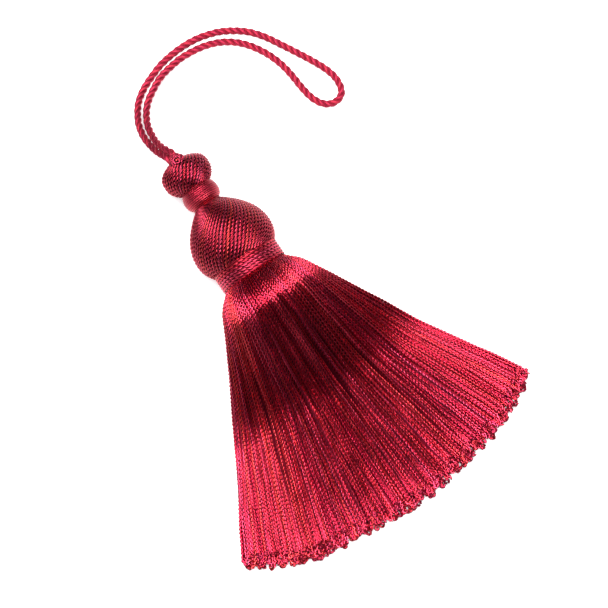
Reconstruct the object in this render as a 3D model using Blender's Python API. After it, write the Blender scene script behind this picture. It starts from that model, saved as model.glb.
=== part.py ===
"""A silk tassel lying on a table: a hanging loop of twisted cord, a wound knob, a small covered bun, a
satin neck ring, a covered egg-shaped head, a wound collar and a fanned skirt of cords.

Metres, +Z up. The table is z = 0, the head points to +Y and the hem to -Y, and the tassel's axis is the
line x = 0 at the height AXIS_Z. "Along" is the distance from the knob's top towards the hem."""

import math
import random

import bmesh
import bpy
from mathutils import Vector

# Driving dimensions of the tassel
LENGTH = 0.1516  # from the knob's top to the middle of the hem
HEAD_RADIUS = 0.01565
FLAT_SPOT_HALF_WIDTH = 0.0035  # where the head's underside is pressed flat on the table
GAP = 0.0003  # between pieces that touch
TOP_Y = LENGTH / 2
AXIS_Z = math.sqrt(HEAD_RADIUS**2 - FLAT_SPOT_HALF_WIDTH**2)

# Turned pieces: each swells from its start to its peak and draws in again to its end.
# along_start, along_peak, along_end, radius_start, radius_peak, radius_end, power_start, power_end
BUN = (0.0017, 0.0086, 0.0138, 0.0040, 0.00945, 0.0062, 3.7, 2.0)
NECK_RING = (0.0141, 0.0173, 0.0205, 0.0061, 0.00700, 0.0052, 2.5, 2.5)
HEAD = (0.0208, 0.0378, 0.0448, 0.0050, HEAD_RADIUS, 0.0130, 2.15, 2.15)

# The knob is a coil about an upright axis. It sits in a well in the bun's upper shoulder, its top showing.
KNOB_X = -0.0006
KNOB_ALONG = 0.0031
KNOB_RADIUS = 0.0027
KNOB_TOP = 0.0226
KNOB_HEIGHT = 0.0050
KNOB_TURNS = 4

# The collar is yarn wound round the roots of the skirt, and opens towards the hem.
COLLAR_START = HEAD[2] + GAP
COLLAR_END = 0.0511
COLLAR_RADIUS = 0.0130
COLLAR_TURNS = 6
TURN_DEPTH = 0.00022
MOUTH_RADIUS = 0.0126

# The skirt's cords grow from three rings of cells on a backing disc inside the collar.
RINGS = 3
CELLS = 56
RING_PITCH = 0.00145
OUTER_RING_RADIUS = 0.0106
BACKING_THICKNESS = 0.0015
BACKING_DEPTH = 0.0025  # of its front face inside the collar's mouth
STRANDS = RINGS * CELLS

# The fan spreads from a point on the axis behind the collar's mouth, and the hem is an arc about it.
FAN_CENTRE = 0.0229
FAN_ANGLE = math.radians(30.4)
UNDER_HEM_SHORTER = 0.0040  # the cords that lie underneath end a little sooner
HEM_RAGGED = 0.0007
HEM_HEIGHT_RAGGED = 0.0008
CORNER_STRANDS = 4
CORNER_SPLAY = 0.0010  # the last cords on the right stray outwards at the hem

# The hem waves a little: place across the fan (-1 left corner, 1 right corner), radius of the arc
HEM_LINE = (
    (-1.00, 0.1225),
    (-0.85, 0.1238),
    (-0.55, 0.1244),
    (-0.33, 0.1222),
    (0.00, 0.1230),
    (0.33, 0.1228),
    (0.65, 0.1240),
    (0.90, 0.1238),
    (1.00, 0.1229),
)
FLOOR_HEIGHT = 0.00071  # centre of a cord that lies on the table
LAYER_GAP = 0.0018  # between the upper and the lower cords at the hem

# Sections of the skirt: distance from the collar's mouth, half the width, height of the top,
# height of the sides, height of the underside, and how flat the fan is (0 round, 1 flat)
SKIRT = (
    (-BACKING_DEPTH, OUTER_RING_RADIUS, AXIS_Z + OUTER_RING_RADIUS, AXIS_Z, AXIS_Z - OUTER_RING_RADIUS, 0.0),
    (0.0000, 0.0117, 0.0267, 0.0152, 0.0036, 0.02),
    (0.0045, 0.0169, 0.0288, 0.0146, 0.0014, 0.22),
    (0.0105, 0.0201, 0.0299, 0.0124, 0.0009, 0.43),
    (0.0230, 0.0270, 0.0244, 0.0092, FLOOR_HEIGHT, 0.72),
    (0.0450, 0.0396, 0.0100, 0.0046, FLOOR_HEIGHT, 1.00),
)
HEM_TOP_HEIGHT = 0.0025

# Half the width and half the depth of a cord's diamond section, at its root and at the hem
ROOT_SECTION = (0.00038, 0.00058)
HEM_SECTION = (0.00062, 0.00070)

# Hanging loop: a doubled cord that leaves the knob, comes down to the table and lies to one side.
CORD_DIAMETER = 0.0025
CORD_POINTS = 72
CORD_SMOOTHING = 12
# x, distance ahead of the knob's top, height
CORD_ROUTE = (
    (-0.0026, 0.0004, 0.0188),
    (-0.0028, 0.0014, 0.0182),
    (-0.0040, 0.0048, 0.0154),
    (-0.0046, 0.0088, 0.0120),
    (-0.0048, 0.0127, 0.0100),
    (-0.0043, 0.0160, 0.0086),
    (-0.0034, 0.0189, 0.0074),
    (-0.0021, 0.0214, 0.0062),
    (-0.0005, 0.0239, 0.0050),
    (0.0014, 0.0261, 0.0039),
    (0.0054, 0.0291, 0.0023),
    (0.0103, 0.0314, 0.0014),
    (0.0155, 0.0332, 0.0013),
    (0.0203, 0.0340, 0.0013),
    (0.0250, 0.0343, 0.0013),
    (0.0298, 0.0341, 0.0013),
    (0.0347, 0.0332, 0.0013),
    (0.0401, 0.0313, 0.0013),
    (0.0449, 0.0285, 0.0013),
    (0.0492, 0.0249, 0.0013),
    (0.0528, 0.0203, 0.0013),
    (0.0559, 0.0149, 0.0013),
    (0.0589, 0.0094, 0.0013),
    (0.0618, 0.0038, 0.0013),
    (0.0642, -0.0015, 0.0013),
    (0.0654, -0.0060, 0.0013),
    (0.0652, -0.0100, 0.0013),
    (0.0639, -0.0127, 0.0013),
    (0.0613, -0.0139, 0.0013),
    (0.0583, -0.0134, 0.0013),
    (0.0558, -0.0112, 0.0013),
    (0.0541, -0.0075, 0.0013),
    (0.0533, -0.0028, 0.0013),
    (0.0529, 0.0025, 0.0013),
    (0.0522, 0.0076, 0.0013),
    (0.0508, 0.0125, 0.0013),
    (0.0486, 0.0173, 0.0013),
    (0.0456, 0.0218, 0.0013),
    (0.0420, 0.0254, 0.0013),
    (0.0378, 0.0281, 0.0013),
    (0.0331, 0.0299, 0.0013),
    (0.0283, 0.0308, 0.0013),
    (0.0232, 0.0311, 0.0014),
    (0.0190, 0.0306, 0.0018),
    (0.0143, 0.0296, 0.0026),
    (0.0101, 0.0278, 0.0035),
    (0.0053, 0.0248, 0.0049),
    (0.0030, 0.0228, 0.0058),
    (0.0011, 0.0204, 0.0069),
    (-0.0006, 0.0174, 0.0085),
    (-0.0016, 0.0146, 0.0101),
    (-0.0021, 0.0113, 0.0121),
    (-0.0023, 0.0080, 0.0146),
    (-0.0017, 0.0046, 0.0175),
    (-0.0004, 0.0014, 0.0197),
    (-0.0001, 0.0004, 0.0203),
)

# Colours, each with a roughness
CRIMSON = ((0.45, 0.012, 0.035), 0.45)
DEEP_CRIMSON = ((0.33, 0.008, 0.028), 0.50)
SATIN_CRIMSON = ((0.50, 0.015, 0.050), 0.30)
SKIRT_CRIMSON = ((0.48, 0.010, 0.040), 0.40)


def material(name, colour, roughness):
    made = bpy.data.materials.new(name)
    made.use_nodes = True
    shader = made.node_tree.nodes["Principled BSDF"]
    shader.inputs["Base Color"].default_value = (*colour, 1)
    shader.inputs["Roughness"].default_value = roughness
    shader.inputs["Metallic"].default_value = 0
    shader.inputs["Sheen Weight"].default_value = 0.3
    return made


def add_object(name, data, look):
    data.materials.append(material(name, *look))
    made = bpy.data.objects.new(name, data)
    bpy.context.scene.collection.objects.link(made)
    return made


def mesh_from(name, shape):
    """Turns a bmesh into a smooth-shaded mesh with its faces pointing out."""
    bmesh.ops.recalc_face_normals(shape, faces=shape.faces)
    mesh = bpy.data.meshes.new(name)
    shape.to_mesh(mesh)
    shape.free()
    mesh.shade_smooth()
    mesh.set_sharp_from_angle(angle=math.radians(40))
    return mesh


def swelling(piece, rows_up, rows_down):
    """(along, radius) pairs down the side of a turned piece, through its peak."""
    start, peak, end, radius_start, radius_peak, radius_end, power_start, power_end = piece
    side = []
    for row in range(rows_up):
        share = 1 - row / rows_up
        side.append((peak - (peak - start) * share, radius_peak - (radius_peak - radius_start) * share**power_start))
    for row in range(rows_down + 1):
        share = row / rows_down
        side.append((peak + (end - peak) * share, radius_peak - (radius_peak - radius_end) * share**power_end))
    return side


def wound(start, end, radius, turns, depth):
    """(along, radius) pairs over the turns of a yarn wound round a cylinder."""
    pitch = (end - start) / turns
    side = [(start, radius - depth)]
    for turn in range(turns):
        side.append((start + (turn + 0.5) * pitch, radius))
        side.append((start + (turn + 1) * pitch, radius - depth))
    return side


def turned(profile, segments):
    """Spins (along, radius) pairs about the tassel's axis and closes both ends with flat faces."""
    shape = bmesh.new()
    rings = []
    for along, radius in profile:
        ring = []
        for segment in range(segments):
            angle = 2 * math.pi * segment / segments
            across = Vector((radius * math.cos(angle), 0, radius * math.sin(angle)))
            ring.append(shape.verts.new(Vector((0, TOP_Y - along, AXIS_Z)) + across))
        rings.append(ring)
    for near, far in zip(rings, rings[1:]):
        for segment in range(segments):
            after = (segment + 1) % segments
            shape.faces.new((near[segment], near[after], far[after], far[segment]))
    shape.faces.new(rings[0])
    shape.faces.new(rings[-1])
    return shape


def upright(shape):
    """Stands a turned shape on the knob's axis, so that its start is the knob's top."""
    for vert in shape.verts:
        along = TOP_Y - vert.co.y
        vert.co = Vector((KNOB_X + vert.co.x, TOP_Y - KNOB_ALONG + vert.co.z - AXIS_Z, KNOB_TOP - along))
    return shape


def loop_knob():
    turns = wound(0.0006, KNOB_HEIGHT, KNOB_RADIUS, KNOB_TURNS, TURN_DEPTH)
    side = [(0, KNOB_RADIUS - 0.0011)] + turns
    add_object("loop_knob", mesh_from("loop_knob", upright(turned(side, 24))), CRIMSON)


def top_bun():
    """The small covered mould, with the knob's well cut into it."""
    bun = add_object("top_bun", mesh_from("top_bun", turned(swelling(BUN, 8, 6), 36)), DEEP_CRIMSON)
    side = [(-0.006, KNOB_RADIUS + GAP), (KNOB_HEIGHT + GAP, KNOB_RADIUS + GAP)]
    well = add_object("knob_well", mesh_from("knob_well", upright(turned(side, 24))), DEEP_CRIMSON)
    well.hide_render = True
    cut = bun.modifiers.new("knob_well", "BOOLEAN")
    cut.operation = "DIFFERENCE"
    cut.solver = "EXACT"
    cut.object = well


def neck_ring():
    side = swelling(NECK_RING, 4, 4)
    add_object("neck_ring", mesh_from("neck_ring", turned(side, 28)), SATIN_CRIMSON)


def main_head():
    """The covered mould, with its underside pressed flat where it rests on the table."""
    shape = turned(swelling(HEAD, 10, 6), 48)
    everything = shape.verts[:] + shape.edges[:] + shape.faces[:]
    cut = bmesh.ops.bisect_plane(shape, geom=everything, plane_co=(0, 0, 0), plane_no=(0, 0, -1), clear_outer=True)
    rim = [part for part in cut["geom_cut"] if isinstance(part, bmesh.types.BMEdge)]
    bmesh.ops.edgeloop_fill(shape, edges=rim)
    add_object("main_head", mesh_from("main_head", shape), DEEP_CRIMSON)


def base_collar():
    """Wound yarn outside, and inside it the recess that holds the backing of the skirt."""
    recess_radius = OUTER_RING_RADIUS + RING_PITCH / 2 + GAP
    backing_front = COLLAR_END - BACKING_DEPTH
    recess = [
        (COLLAR_END, MOUTH_RADIUS),
        (backing_front, recess_radius),
        (backing_front - BACKING_THICKNESS - GAP, recess_radius),
    ]
    side = wound(COLLAR_START, COLLAR_END, COLLAR_RADIUS, COLLAR_TURNS, TURN_DEPTH) + recess
    add_object("base_collar", mesh_from("base_collar", turned(side, 44)), CRIMSON)


def fanned(angle):
    """The direction in the fan, in radians from the axis, of a cord rooted at this angle round the ring."""
    above = angle if angle < math.pi else 2 * math.pi - angle
    return FAN_ANGLE * (1 - 2 * above / math.pi)


def hem_radius(direction):
    """How far from the fan's centre a cord in this direction ends, along the waving hem."""
    place = direction / FAN_ANGLE
    for (near, radius_near), (far, radius_far) in zip(HEM_LINE, HEM_LINE[1:]):
        if place <= far:
            return radius_near + (radius_far - radius_near) * (place - near) / (far - near)
    return HEM_LINE[-1][1]


def upper_and_lower(height_top, height_side, height_under, angle, layers):
    """Height of a cord of the outer ring. Layers is the depth of the whole stack of rings at the sides."""
    lift = abs(math.sin(angle))
    middle = max(height_side, FLOOR_HEIGHT + layers / 2)
    if angle < math.pi:
        side = middle + layers / 2
        return side + (height_top - side) * lift
    side = middle - layers / 2
    return side + (height_under - side) * lift


def strand_stations(number, rng):
    """Centres and outward directions of one cord from its root to the hem."""
    angle = 2 * math.pi * (number + 0.5) / STRANDS
    ring = number % RINGS
    upper = angle < math.pi
    direction = fanned(angle)
    downwards = math.pi / 2 if upper else 3 * math.pi / 2
    reach = hem_radius(direction) - (0 if upper else UNDER_HEM_SHORTER) + rng.uniform(-HEM_RAGGED, HEM_RAGGED)
    hem_top = HEM_TOP_HEIGHT + rng.uniform(0, HEM_HEIGHT_RAGGED)
    hem_distance = reach * math.cos(direction) - FAN_CENTRE
    splay = CORNER_SPLAY if number < CORNER_STRANDS else 0
    stations = []
    for distance, half_width, top, side, under, flat in SKIRT:
        done = max(0, distance) / hem_distance
        across = half_width * ((1 - flat) * math.cos(angle) + flat * math.tan(direction) / math.tan(FAN_ANGLE))
        layers = (2 * (RINGS - 1) * RING_PITCH * (1 - done) + LAYER_GAP) * math.sin(flat * math.pi / 2)
        height = upper_and_lower(top, side, under, angle, layers)
        turn = downwards + (angle - downwards) * (1 - flat)
        outward = Vector((math.cos(turn), 0, math.sin(turn)))
        centre = Vector((across, -distance, height)) - outward * ring * RING_PITCH * (1 - done)
        stations.append((centre, outward, done))
    end_height = hem_top if upper else FLOOR_HEIGHT
    end = Vector((reach * math.sin(direction) + splay, -hem_distance, end_height))
    stations.append((end, Vector((0, 0, 1 if upper else -1)), 1.0))
    return stations


def diamond(centre, outward, sideways, done):
    width = ROOT_SECTION[0] + (HEM_SECTION[0] - ROOT_SECTION[0]) * done
    depth = ROOT_SECTION[1] + (HEM_SECTION[1] - ROOT_SECTION[1]) * done
    return (centre + outward * depth, centre + sideways * width, centre - outward * depth, centre - sideways * width)


def add_strand(shape, corners, stations, mouth):
    """Grows one cord from its cell of the backing: corners are the cell's four points."""
    sections = []
    for number, (centre, outward, done) in enumerate(stations):
        if number == 0:
            along = Vector((0, -1, 0))
        elif number == len(stations) - 1:
            along = (centre - stations[number - 1][0]).normalized()
        else:
            along = (stations[number + 1][0] - stations[number - 1][0]).normalized()
        outward = (outward - along * outward.dot(along)).normalized()
        sideways = along.cross(outward)
        points = diamond(centre, outward, sideways, done)
        sections.append([shape.verts.new(point + mouth) for point in points])
    root = sections[0]
    for side in range(4):
        after = (side + 1) % 4
        shape.faces.new((corners[side], corners[after], root[side]))
        shape.faces.new((corners[after], root[after], root[side]))
    for near, far in zip(sections, sections[1:]):
        for side in range(4):
            after = (side + 1) % 4
            shape.faces.new((near[side], near[after], far[after], far[side]))
    shape.faces.new(sections[-1])


def skirt():
    """All the cords and the disc that their roots are fused into, as one closed body."""
    shape = bmesh.new()
    rng = random.Random(7)
    mouth = Vector((0, TOP_Y - COLLAR_END, 0))
    grid = []
    for edge in range(RINGS + 1):
        radius = OUTER_RING_RADIUS + RING_PITCH / 2 - edge * RING_PITCH
        circle = []
        for cell in range(CELLS):
            angle = 2 * math.pi * (RINGS * cell + edge - RINGS / 2) / STRANDS
            point = Vector((radius * math.cos(angle), BACKING_DEPTH, AXIS_Z + radius * math.sin(angle)))
            circle.append(shape.verts.new(point + mouth))
        grid.append(circle)
    for number in range(STRANDS):
        cell, ring = divmod(number, RINGS)
        after = (cell + 1) % CELLS
        corners = (grid[ring][cell], grid[ring][after], grid[ring + 1][after], grid[ring + 1][cell])
        add_strand(shape, corners, strand_stations(number, rng), mouth)
    shape.faces.new(grid[RINGS])
    back = [shape.verts.new(corner.co + Vector((0, BACKING_THICKNESS, 0))) for corner in grid[0]]
    for cell in range(CELLS):
        after = (cell + 1) % CELLS
        shape.faces.new((grid[0][cell], back[cell], back[after], grid[0][after]))
    shape.faces.new(back)
    add_object("skirt", mesh_from("skirt", shape), SKIRT_CRIMSON)


def through(points, steps):
    """A smooth curve through the points: Catmull-Rom, with this many steps between each two."""
    ends = [2 * points[0] - points[1], *points, 2 * points[-1] - points[-2]]
    curve = []
    for a, b, c, d in zip(ends, ends[1:], ends[2:], ends[3:]):
        for step in range(steps):
            t = step / steps
            curve.append(
                0.5 * (2 * b + (c - a) * t + (2 * a - 5 * b + 4 * c - d) * t**2 + (3 * b - a - 3 * c + d) * t**3)
            )
    return curve + [points[-1]]


def evenly(curve, count):
    """This many points at equal distances along the curve."""
    run = [0]
    for near, far in zip(curve, curve[1:]):
        run.append(run[-1] + (far - near).length)
    spaced = []
    place = 0
    for number in range(count):
        wanted = run[-1] * number / (count - 1)
        while place < len(run) - 2 and run[place + 1] < wanted:
            place += 1
        share = (wanted - run[place]) / (run[place + 1] - run[place])
        spaced.append(curve[place].lerp(curve[place + 1], min(share, 1)))
    return spaced


def hanging_loop():
    route = [Vector((x, TOP_Y + ahead, height)) for x, ahead, height in CORD_ROUTE]
    points = evenly(through(route, CORD_SMOOTHING), CORD_POINTS)
    curve = bpy.data.curves.new("hanging_loop", "CURVE")
    curve.dimensions = "3D"
    curve.bevel_depth = CORD_DIAMETER / 2
    curve.bevel_resolution = 2
    curve.use_fill_caps = True
    spline = curve.splines.new("POLY")
    spline.points.add(len(points) - 1)
    for point, place in zip(spline.points, points):
        point.co = (*place, 1)
    add_object("hanging_loop", curve, CRIMSON)


for old in list(bpy.data.objects):
    bpy.data.objects.remove(old, do_unlink=True)

hanging_loop()
loop_knob()
top_bun()
neck_ring()
main_head()
base_collar()
skirt()
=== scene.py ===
"""A crimson silk tassel lying on a pale table: its looks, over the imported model.

Metres, +Z up. The table is z = 0, the head points to +Y and the hem to -Y, and the tassel's axis is the
line x = 0 at the height AXIS_Z. "Along" is the distance from the knob's top towards the hem. Every random
draw comes from a seeded generator."""

import math

import bpy
import numpy as np
from mathutils import Matrix, Vector


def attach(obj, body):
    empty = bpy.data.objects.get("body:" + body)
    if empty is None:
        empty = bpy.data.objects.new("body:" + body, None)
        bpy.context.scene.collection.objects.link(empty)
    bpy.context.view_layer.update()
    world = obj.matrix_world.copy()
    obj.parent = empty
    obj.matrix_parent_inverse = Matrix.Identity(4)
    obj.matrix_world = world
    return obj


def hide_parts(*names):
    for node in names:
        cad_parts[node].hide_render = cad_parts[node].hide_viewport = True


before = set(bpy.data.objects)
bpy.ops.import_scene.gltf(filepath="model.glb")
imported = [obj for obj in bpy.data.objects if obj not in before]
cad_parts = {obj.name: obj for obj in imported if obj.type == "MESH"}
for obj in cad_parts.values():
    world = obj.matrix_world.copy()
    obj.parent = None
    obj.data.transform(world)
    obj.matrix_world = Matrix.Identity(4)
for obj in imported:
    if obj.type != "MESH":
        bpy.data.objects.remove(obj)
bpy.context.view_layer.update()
scene = bpy.context.scene
scene.view_settings.view_transform = "Standard"

# The camera looks almost straight down, a little from behind the tassel's left side,
# from far enough away that the head and the hem keep their true sizes.
VIEW_AZIMUTH = math.radians(-34.35)
VIEW_ELEVATION = math.radians(84.0)
VIEW_DISTANCE = 0.9
VIEW_TARGET = Vector((0.0088, 0.0066, 0.008))
VIEW_WIDTH = 0.2178  # what the frame spans at the target

camera_data = bpy.data.cameras.new("camera")
camera_data.sensor_width = 36
camera_data.lens = camera_data.sensor_width * VIEW_DISTANCE / VIEW_WIDTH
camera = bpy.data.objects.new("camera", camera_data)
level = math.cos(VIEW_ELEVATION)
back = Vector(
    (math.sin(VIEW_AZIMUTH) * level, -math.cos(VIEW_AZIMUTH) * level, math.sin(VIEW_ELEVATION))
)
camera.location = VIEW_TARGET + back * VIEW_DISTANCE
camera.rotation_euler = (-back).to_track_quat("-Z", "Y").to_euler()
scene.collection.objects.link(camera)
scene.camera = camera


# Hanging loop: one cord of three silk plies, laid up with a Z twist and doubled into a loop.
# It leaves the knob, comes down over the bun's end to the table and lies to one side.
TOP_Y = 0.0758
CORD_DIAMETER = 0.0025
CORD_LENGTH = 0.247
CORD_PLIES = 3
CORD_LAY = 0.0078  # one whole turn of a ply
CORD_STEPS = 16  # stations in one turn
PLY_SIDES = 8
PLY_SWELL = 1.4  # plies are drawn this much too thick, so that they press into each other
CROWN_INSIDE = 0.3  # crown, and so painted shade, of the side of a ply that faces the cord's middle
TABLE_CLEARANCE = 0.00005
# x, distance ahead of the knob's top, height
CORD_ROUTE = np.array(
    [
        (-0.0026, 0.0004, 0.0188),
        (-0.0028, 0.0014, 0.0182),
        (-0.0040, 0.0048, 0.0154),
        (-0.0046, 0.0088, 0.0120),
        (-0.0048, 0.0127, 0.0100),
        (-0.0043, 0.0160, 0.0086),
        (-0.0034, 0.0189, 0.0074),
        (-0.0021, 0.0214, 0.0062),
        (-0.0005, 0.0239, 0.0050),
        (0.0014, 0.0261, 0.0039),
        (0.0054, 0.0291, 0.0023),
        (0.0103, 0.0314, 0.0014),
        (0.0155, 0.0332, 0.0013),
        (0.0203, 0.0340, 0.0013),
        (0.0250, 0.0343, 0.0013),
        (0.0298, 0.0341, 0.0013),
        (0.0347, 0.0332, 0.0013),
        (0.0401, 0.0313, 0.0013),
        (0.0449, 0.0285, 0.0013),
        (0.0492, 0.0249, 0.0013),
        (0.0528, 0.0203, 0.0013),
        (0.0559, 0.0149, 0.0013),
        (0.0589, 0.0094, 0.0013),
        (0.0618, 0.0038, 0.0013),
        (0.0642, -0.0015, 0.0013),
        (0.0654, -0.0060, 0.0013),
        (0.0652, -0.0100, 0.0013),
        (0.0639, -0.0127, 0.0013),
        (0.0613, -0.0139, 0.0013),
        (0.0583, -0.0134, 0.0013),
        (0.0558, -0.0112, 0.0013),
        (0.0541, -0.0075, 0.0013),
        (0.0533, -0.0028, 0.0013),
        (0.0529, 0.0025, 0.0013),
        (0.0522, 0.0076, 0.0013),
        (0.0508, 0.0125, 0.0013),
        (0.0486, 0.0173, 0.0013),
        (0.0456, 0.0218, 0.0013),
        (0.0420, 0.0254, 0.0013),
        (0.0378, 0.0281, 0.0013),
        (0.0331, 0.0299, 0.0013),
        (0.0283, 0.0308, 0.0013),
        (0.0232, 0.0311, 0.0014),
        (0.0190, 0.0306, 0.0018),
        (0.0143, 0.0296, 0.0026),
        (0.0101, 0.0278, 0.0035),
        (0.0053, 0.0248, 0.0049),
        (0.0030, 0.0228, 0.0058),
        (0.0011, 0.0204, 0.0069),
        (-0.0006, 0.0174, 0.0085),
        (-0.0016, 0.0146, 0.0101),
        (-0.0021, 0.0113, 0.0121),
        (-0.0023, 0.0080, 0.0146),
        (-0.0017, 0.0046, 0.0175),
        (-0.0004, 0.0014, 0.0197),
        (-0.0001, 0.0004, 0.0203),
    ]
)
# where its two ends go into the knob
KNOB_ENDS = np.array([(-0.0020, -0.0014, 0.0190), (-0.0004, -0.0014, 0.0204)])


def linear(hex_colour):
    """An sRGB hex colour as linear red, green, blue and alpha."""
    parts = np.array([int(hex_colour[place : place + 2], 16) for place in (1, 3, 5)]) / 255
    parts = np.where(parts <= 0.04045, parts / 12.92, ((parts + 0.055) / 1.055) ** 2.4)
    return (*parts.tolist(), 1.0)


def add_node(tree, kind, inputs, **settings):
    """Adds a shader node with its settings, and fills or links its inputs, by name or number."""
    made = tree.nodes.new("ShaderNode" + kind)
    for name, value in settings.items():
        setattr(made, name, value)
    for name, value in inputs.items():
        if isinstance(value, bpy.types.NodeSocket):
            tree.links.new(value, made.inputs[name])
        else:
            made.inputs[name].default_value = value
    return made


STREAK_NOISE = (0.3, 0.7)  # the range of the noise that makes the streaks, dark to light
STREAK_LIGHTNESS = (0.64, 1.36)  # what the streaks multiply the hue by
HOLLOW_SHADE_CROWNS = (0.25, 0.80)  # up to the first a crown takes only the painted shade, from the second none of it
FIBRE_LENGTH = 0.004  # along a yarn, one unit of the streaks
STREAK_SHIFT = 37.0  # takes each yarn to its own place in the streaks
END_CROWN = 0.6  # crown, and so painted shade, of the point that closes a tube


def silk(name, hues, hollow, roughness, sheen, streak_scale, relief, straight, aligned, lustre):
    """Dyed silk, spun and plied. It reads four attributes of the mesh: yarn (0 to 1, which of the hues),
    crown (0 in the hollows between plies, 1 on top of them), fibre (the place in the streaks, which
    run along the fibres) and axis (the direction of the fibres). Where the crown is low the colour hollow
    is mixed into the hue: it is painted shade in the hollows between plies. Silk sends light back through
    its dyed fibres, so most of its gloss has its colour, as a metal's has: that share is lustre. Sheen is a
    pale bloom of loose fibre ends at grazing angles. Straight is how far fibres along the yarn level its
    relief, and aligned how much wider the gloss is across them than along them."""
    made = bpy.data.materials.new(name)
    made.use_nodes = True
    tree = made.node_tree
    shader = tree.nodes["Principled BSDF"]
    yarn = add_node(tree, "Attribute", {}, attribute_name="yarn")
    crown = add_node(tree, "Attribute", {}, attribute_name="crown")
    fibre = add_node(tree, "Attribute", {}, attribute_name="fibre")
    dyed = add_node(tree, "ValToRGB", {"Fac": yarn.outputs["Fac"]})
    stops = dyed.color_ramp.elements
    for number, hue in enumerate(hues):
        place = number / (len(hues) - 1)
        stop = stops.new(place) if 0 < number < len(hues) - 1 else stops[-1 if number else 0]
        stop.position = place
        stop.color = linear(hue)
    streaks = add_node(
        tree, "TexNoise", {"Vector": fibre.outputs["Vector"], "Scale": streak_scale, "Detail": 3.0}
    )
    lightness = add_node(
        tree,
        "MapRange",
        {
            "Value": streaks.outputs["Fac"],
            1: STREAK_NOISE[0],
            2: STREAK_NOISE[1],
            3: STREAK_LIGHTNESS[0],
            4: STREAK_LIGHTNESS[1],
        },
    )
    streaked = add_node(
        tree,
        "Mix",
        {0: 1.0, 6: dyed.outputs["Color"], 7: lightness.outputs["Result"]},
        data_type="RGBA",
        blend_type="MULTIPLY",
    )
    # painted shade: the hollow colour is mixed in where the crown is low, between the plies
    depth = add_node(
        tree,
        "MapRange",
        {"Value": crown.outputs["Fac"], 1: HOLLOW_SHADE_CROWNS[0], 2: HOLLOW_SHADE_CROWNS[1]},
        interpolation_type="SMOOTHSTEP",
    )
    shaded = add_node(
        tree,
        "Mix",
        {0: depth.outputs["Result"], 6: linear(hollow), 7: streaked.outputs[2]},
        data_type="RGBA",
    )
    # fibres along the yarn level its relief: the share "straight" of the normal's lean along them goes
    axis = add_node(tree, "Attribute", {}, attribute_name="axis")
    facing = add_node(tree, "NewGeometry", {})
    lean = add_node(
        tree,
        "VectorMath",
        {0: facing.outputs["Normal"], 1: axis.outputs["Vector"]},
        operation="DOT_PRODUCT",
    )
    share = add_node(tree, "Math", {0: lean.outputs["Value"], 1: straight}, operation="MULTIPLY")
    along = add_node(
        tree, "VectorMath", {0: axis.outputs["Vector"], "Scale": share.outputs["Value"]}, operation="SCALE"
    )
    square = add_node(
        tree, "VectorMath", {0: facing.outputs["Normal"], 1: along.outputs["Vector"]}, operation="SUBTRACT"
    )
    level = add_node(tree, "VectorMath", {0: square.outputs["Vector"]}, operation="NORMALIZE")
    bump = add_node(
        tree,
        "Bump",
        {
            "Height": streaks.outputs["Fac"],
            "Strength": 0.6,
            "Distance": relief,
            "Normal": level.outputs["Vector"],
        },
    )
    tree.links.new(shaded.outputs[2], shader.inputs["Base Color"])
    tree.links.new(bump.outputs["Normal"], shader.inputs["Normal"])
    tree.links.new(axis.outputs["Vector"], shader.inputs["Tangent"])
    shader.inputs["Anisotropic"].default_value = aligned
    shader.inputs["Anisotropic Rotation"].default_value = 0.25  # a quarter turn, to lie across the fibres
    shader.inputs["Roughness"].default_value = roughness
    shader.inputs["Metallic"].default_value = lustre
    shader.inputs["IOR"].default_value = 1.54
    shader.inputs["Specular IOR Level"].default_value = 0.9
    shader.inputs["Sheen Weight"].default_value = sheen
    shader.inputs["Sheen Roughness"].default_value = 0.45
    shader.inputs["Sheen Tint"].default_value = linear("#E890A4")
    return made


def add_surface(name, points, quads, triangles, look, yarn, crown, fibre, axis):
    """Puts points and faces into a smooth mesh with the four attributes of the material."""
    corners = np.concatenate([quads.ravel(), triangles.ravel()]).astype(np.int32)
    starts = np.concatenate(
        [np.arange(len(quads)) * 4, len(quads) * 4 + np.arange(len(triangles)) * 3]
    ).astype(np.int32)
    mesh = bpy.data.meshes.new(name)
    mesh.vertices.add(len(points))
    mesh.vertices.foreach_set("co", points.astype(np.float32).ravel())
    mesh.loops.add(len(corners))
    mesh.loops.foreach_set("vertex_index", corners)
    mesh.polygons.add(len(starts))
    mesh.polygons.foreach_set("loop_start", starts)
    for title, values in (("yarn", yarn), ("crown", crown), ("fibre", fibre), ("axis", axis)):
        kind = "FLOAT" if values.ndim == 1 else "FLOAT_VECTOR"
        layer = mesh.attributes.new(title, kind, "POINT")
        field = "value" if values.ndim == 1 else "vector"
        layer.data.foreach_set(field, values.astype(np.float32).ravel())
    mesh.update(calc_edges=True)
    mesh.validate()
    mesh.shade_smooth()
    mesh.materials.append(look)
    made = bpy.data.objects.new(name, mesh)
    scene.collection.objects.link(made)
    return made


def through(points, steps):
    """A Catmull-Rom curve through the points, with this many steps between each two."""
    ends = np.vstack([2 * points[0] - points[1], points, 2 * points[-1] - points[-2]])
    a, b, c, d = ends[:-3, None], ends[1:-2, None], ends[2:-1, None], ends[3:, None]
    t = (np.arange(steps) / steps)[None, :, None]
    curve = 0.5 * (
        2 * b + (c - a) * t + (2 * a - 5 * b + 4 * c - d) * t**2 + (3 * b - a - 3 * c + d) * t**3
    )
    return np.vstack([curve.reshape(-1, points.shape[1]), points[-1]])


def run_along(paths):
    """Distance from the start of each path to each of its points."""
    steps = np.linalg.norm(np.diff(paths, axis=-2), axis=-1)
    return np.concatenate([np.zeros(steps.shape[:-1] + (1,)), np.cumsum(steps, axis=-1)], axis=-1)


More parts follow.
